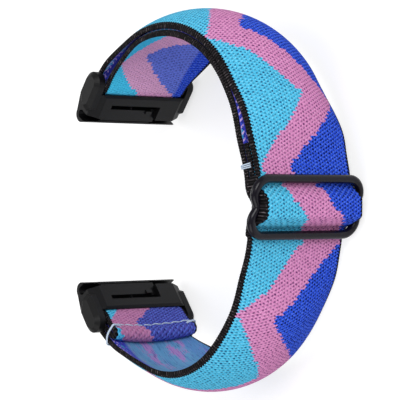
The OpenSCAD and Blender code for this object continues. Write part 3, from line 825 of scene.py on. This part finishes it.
for node, rows in pieces.items():
    piece = webbing(node.replace("strap_", "webbing_"), rows, cloth)
    if node in ("strap_bridge", "strap_buckle_loop"):
        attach(piece, "buckle")
    elif node in stretching:
        start, end = stretching[node]
        on_line(start)
        on_line(end)
        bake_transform(piece)
    else:
        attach(piece, "strap")
    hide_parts(node)

# Buckle: a wire frame with round corners, its sides drawn in at the middle bar
half_out = STRAP_W / 2 + EDGE_GAP + RAIL_D
frame_z = half_out - RAIL_D / 2
over, under = at(RAIL_OVER, RAIL_OVER_OFF), at(RAIL_UNDER, RAIL_UNDER_OFF)
frame_mid = (over + under) / 2
frame_half = np.linalg.norm(over - under) / 2
frame_up = (over - under) / (2 * frame_half)
flat_y, flat_z = frame_half - CORNER_R, frame_z - CORNER_R
CORNER_N, RAIL_N, SIDE_N, BAR_N = 12, 40, 30, 40
ring = []
for a0 in (0, 90, 180, 270):
    sz = 1 if a0 in (0, 270) else -1
    sy = 1 if a0 in (0, 90) else -1
    for i in range(CORNER_N + 1):
        a = math.radians(a0 + 90 * i / CORNER_N)
        ring.append((sz * flat_z + CORNER_R * math.cos(a), sy * flat_y + CORNER_R * math.sin(a)))
    if a0 in (0, 180):
        for i in range(1, RAIL_N):
            ring.append((sz * flat_z * (1 - 2 * i / RAIL_N), sy * frame_half))
    else:
        for i in range(1, SIDE_N):
            y = sy * flat_y * (1 - 2 * i / SIDE_N)
            waist = WAIST * math.exp(-(y / FRAME_WAIST_REACH) ** 2)
            pinch = SIDE_PINCH * ease(1 - abs(y) / flat_y) + waist
            ring.append((sz * (frame_z - pinch), y))
frame_path = [np.array([*(frame_mid + y * frame_up), z]) for z, y in ring]
buckle = rod("buckle_wire", frame_path, RAIL_D / 2, paint, sides=28, closed=True)
bar_z = frame_z - SIDE_PINCH - WAIST
bar_path = [np.array([*middle_bar, z]) for z in np.linspace(-bar_z, bar_z, BAR_N)]
bar = rod("buckle_bar", bar_path, MIDDLE_D / 2, paint, sides=24, tip=False)
for piece, node in ((buckle, "buckle_frame"), (bar, "buckle_middle_bar")):
    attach(piece, "buckle")
    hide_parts(node)

# Stitches and edge threads
THREAD_D, THREAD_SIDES = 0.35, 10
STITCH_PITCH, STITCHES, STITCH_N = 2.6, 8, 12
STITCH_R, STITCH_GAP, STITCH_SLANT = THREAD_D * 0.36, 0.06, 0.12
STITCH_RISE, STITCH_POWER = 0.17, 0.6
FLAP_SUNK = 0.12
TACK_R, TACK_STEP, TACK_INSET, TACK_CORNER = THREAD_D * 0.38, 0.8 * THREAD_D, 2.0, 0.45
TACK_DIP, TACK_PAST, TACK_EDGE, TACK_BULGE, TACK_N = 0.25, 0.05, 0.35, 0.55, 6
STRAND_FROM, STRAND_WIDENS = 0.55, 0.8


def stitch_row(name, s, off, sunk):
    o = -outward(s)
    parts = []
    for i in range(STITCHES):
        z0 = (i - STITCHES / 2) * STITCH_PITCH
        base = STRAP_T / 2 - (sunk if z0 >= 0 else 0.0)
        line = []
        for j in range(STITCH_N + 1):
            t = j / STITCH_N
            z = z0 + STITCH_PITCH * (STITCH_GAP + (1 - 2 * STITCH_GAP) * t)
            rise = crown(s) * (1 - (z / half_w(s)) ** 2)
            lift = base + STITCH_RISE * math.sin(math.pi * t) ** STITCH_POWER
            xy = at(s + STITCH_SLANT * math.sin(2 * math.pi * t), off + rise) + o * lift
            line.append(np.array([*xy, z]))
        parts.append(rod(f"{name}_{i}", line, STITCH_R, thread_mat, THREAD_SIDES))
    return joined(name, parts)


# One strand's path round an edge, as (height, place across): from the inner face round the edge,
# and on over the outer face where the thread goes all the way
def strand_path(s, low, high, over_top):
    w, lift = half_w(s), THREAD_D / 2
    lo, hi = low(s) - STRAP_T / 2 - lift, high(s) + STRAP_T / 2 + lift
    inset, c = w - TACK_INSET, TACK_CORNER
    rise = crown(s) * (1 - (inset / w) ** 2)
    turns = [math.radians(90 * i / TACK_N) for i in range(TACK_N + 1)]
    pts = [(lo + rise + TACK_DIP, inset - TACK_PAST), (lo + rise, inset + TACK_DIP), (lo, w - TACK_EDGE)]
    pts += [(lo + c - c * math.cos(a), w + lift - c + c * math.sin(a)) for a in turns]
    if not over_top:
        return pts + [(hi - 3 * lift, w + lift)]
    for i in range(1, TACK_N):
        out = TACK_BULGE * math.sin(math.pi * i / TACK_N)
        pts.append((lo + c + (hi - lo - 2 * c) * i / TACK_N, w + lift + out))
    pts += [(hi - c + c * math.sin(a), w + lift - c + c * math.cos(a)) for a in turns]
    pts += [(hi, w - TACK_EDGE), (hi + rise, inset + TACK_DIP), (hi + rise - TACK_DIP, inset - TACK_PAST)]
    return pts


def edge_tacks(name, s, low, high, strands, over_top):
    parts = []
    for sign in (1, -1):
        for k in range(strands):
            away = (k - (strands - 1) / 2) * TACK_STEP
            line = []
            pts = strand_path(s + away, low, high, over_top)
            for i, (off, z) in enumerate(pts):
                spread = 1 if over_top else STRAND_FROM + STRAND_WIDENS * i / (len(pts) - 1)
                line.append(np.array([*at(s + away * spread, off), sign * z]))
            parts.append(rod(f"{name}_{sign}_{k}", line, TACK_R, thread_mat, THREAD_SIDES))
    return joined(name, parts)


seam_s = BUCKLE_AT + RETURN_SEAM
flap_seam_s = LOWER_END + FLAP_SEAM
flap_tack_s = flap_seam_s + TACK_SHIFT
loop_seam = stitch_row("seam_above_buckle", seam_s, inner_off(seam_s), 0.0)
loop_tacks = edge_tacks("tacks_above_buckle", seam_s, inner_off, return_off, 3, False)
flap_seam = stitch_row("seam_of_flap", flap_seam_s, flap_off(flap_seam_s), FLAP_SUNK)
flap_tacks = edge_tacks("tacks_of_flap", flap_tack_s, flap_off, outer_off, 2, True)
threads = [
    (loop_seam, "buckle_loop_stitches", "buckle"),
    (loop_tacks, "buckle_loop_edge_tacks", "buckle"),
    (flap_seam, "flap_stitches", "strap"),
    (flap_tacks, "flap_edge_tacks", "strap"),
]
for piece, node, body in threads:
    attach(piece, body)
    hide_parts(node)

# Adapters, latches, bars and springs keep their solids; the moulded ones get softened edges
SOFT_WIDTH, SOFT_ANGLE = 0.00018, 25
for name, node in nodes.items():
    kind = None
    if name.endswith("_adapter") or name.endswith("_latch"):
        kind = plastic
        soft = node.modifiers.new("soft_edges", "BEVEL")
        soft.width = SOFT_WIDTH
        soft.segments = 3
        soft.limit_method = "ANGLE"
        soft.angle_limit = math.radians(SOFT_ANGLE)
        soft.harden_normals = True
    elif name.endswith("_strap_bar"):
        kind = steel
    # springs take the steel painted dark, painted shade for the latch slots
    elif name.endswith("_spring"):
        kind = spring_in_shade
    if kind:
        node.data.materials.clear()
        node.data.materials.append(kind)

# Each latch spring beside a sliding latch gets a mesh of its own
for joint in frame["joints"]:
    if joint["name"].endswith("_latch_slide"):
        spring = nodes[joint["child"] + "_spring"]
        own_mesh(spring)

# Camera at the photograph's angle: SCALE is pixels a millimetre, and the point LOOK_AT falls on the
# pixel LOOK_PIXEL of a square picture of PICTURE pixels
THETA, DISTANCE, SCALE = math.radians(40), 400.0, 4.7
PICTURE, SENSOR = 400, 36
LOOK_AT, LOOK_PIXEL = np.array([-30.0, 0, 0]), (199.07, 203.55)
right = np.array([math.sin(THETA), 0, -math.cos(THETA)])
up = np.array([0.0, 1.0, 0.0])
back = np.array([math.cos(THETA), 0, math.sin(THETA)])
target = (LOOK_AT - ORIGIN + right * (PICTURE / 2 - LOOK_PIXEL[0]) / SCALE
          + up * (LOOK_PIXEL[1] - PICTURE / 2) / SCALE)
camera = bpy.data.objects.new("camera", bpy.data.cameras.new("camera"))
bpy.context.scene.collection.objects.link(camera)
spot_at = (target + back * DISTANCE) * MM
camera.matrix_world = Matrix([
    [right[0], up[0], back[0], spot_at[0]],
    [right[1], up[1], back[1], spot_at[1]],
    [right[2], up[2], back[2], spot_at[2]],
    [0, 0, 0, 1],
])
camera.data.sensor_width = SENSOR
camera.data.lens = SENSOR * SCALE * DISTANCE / PICTURE
camera.data.clip_start = 0.01
bpy.context.scene.camera = camera


# Floor, background and light
FLOOR_HALF, FLOOR_GLOW, WORLD_LIGHT = 3, 0.62, 0.44
FLOOR_SEEN, FLOOR_BOUNCE = (0.5, 0.5, 0.5), (0.7, 0.7, 0.7)
LAMP_AIM, LAMP_DISTANCE = 0.015, 0.6
WHITE = (1, 1, 1, 1)


def floor_material():
    m = Net("pale_floor")
    tree = m.tree
    diffuse = m.node("ShaderNodeBsdfDiffuse", Color=FLOOR_SEEN)
    glow = m.node("ShaderNodeEmission", Color=WHITE, Strength=FLOOR_GLOW)
    seen = tree.nodes.new("ShaderNodeAddShader")
    tree.links.new(diffuse.outputs[0], seen.inputs[0])
    tree.links.new(glow.outputs[0], seen.inputs[1])
    plain = m.node("ShaderNodeBsdfDiffuse", Color=FLOOR_BOUNCE)
    kinds = tree.nodes.new("ShaderNodeLightPath").outputs
    shown = Num(m, kinds["Is Camera Ray"])
    for kind in ("Is Glossy Ray", "Is Transmission Ray"):
        shown = shown.most(Num(m, kinds[kind]))
    mix = tree.nodes.new("ShaderNodeMixShader")
    m.put(mix.inputs[0], shown)
    tree.links.new(plain.outputs[0], mix.inputs[1])
    tree.links.new(seen.outputs[0], mix.inputs[2])
    tree.links.new(mix.outputs[0], m.out.inputs[0])
    tree.nodes.remove(m.shader)
    return m.mat


corners = [(x * FLOOR_HALF, y * FLOOR_HALF, 0) for x, y in ((-1, -1), (1, -1), (1, 1), (-1, 1))]
floor = make_mesh("floor", corners, [(0, 1, 2, 3)], [floor_material()])

world = bpy.data.worlds.new("studio")
bpy.context.scene.world = world
world.use_nodes = True
tree = world.node_tree
tree.nodes.clear()
lit = tree.nodes.new("ShaderNodeBackground")
lit.inputs["Color"].default_value = WHITE
lit.inputs["Strength"].default_value = WORLD_LIGHT
seen = tree.nodes.new("ShaderNodeBackground")
seen.inputs["Color"].default_value = WHITE
seen.inputs["Strength"].default_value = 1.0
rays = tree.nodes.new("ShaderNodeLightPath")
mix = tree.nodes.new("ShaderNodeMixShader")
out = tree.nodes.new("ShaderNodeOutputWorld")
tree.links.new(rays.outputs["Is Camera Ray"], mix.inputs[0])
tree.links.new(lit.outputs[0], mix.inputs[1])
tree.links.new(seen.outputs[0], mix.inputs[2])
tree.links.new(mix.outputs[0], out.inputs[0])


def lamp(name, direction, size, power):
    data = bpy.data.lights.new(name, "AREA")
    data.shape = "DISK"
    data.size = size
    data.energy = power
    obj = bpy.data.objects.new(name, data)
    bpy.context.scene.collection.objects.link(obj)
    d = Vector(direction).normalized()
    obj.location = d * LAMP_DISTANCE + Vector((0, 0, LAMP_AIM))
    obj.rotation_euler = d.to_track_quat("Z", "Y").to_euler()


lamp("key", (0.75, 0.45, 0.75), size=0.35, power=2.2)
lamp("fill", (0.2, -0.8, 0.6), size=0.45, power=1.15)
lamp("rim", (-0.7, 0.2, 0.9), size=0.35, power=1.0)

scene = bpy.context.scene
scene.view_settings.view_transform = "Standard"
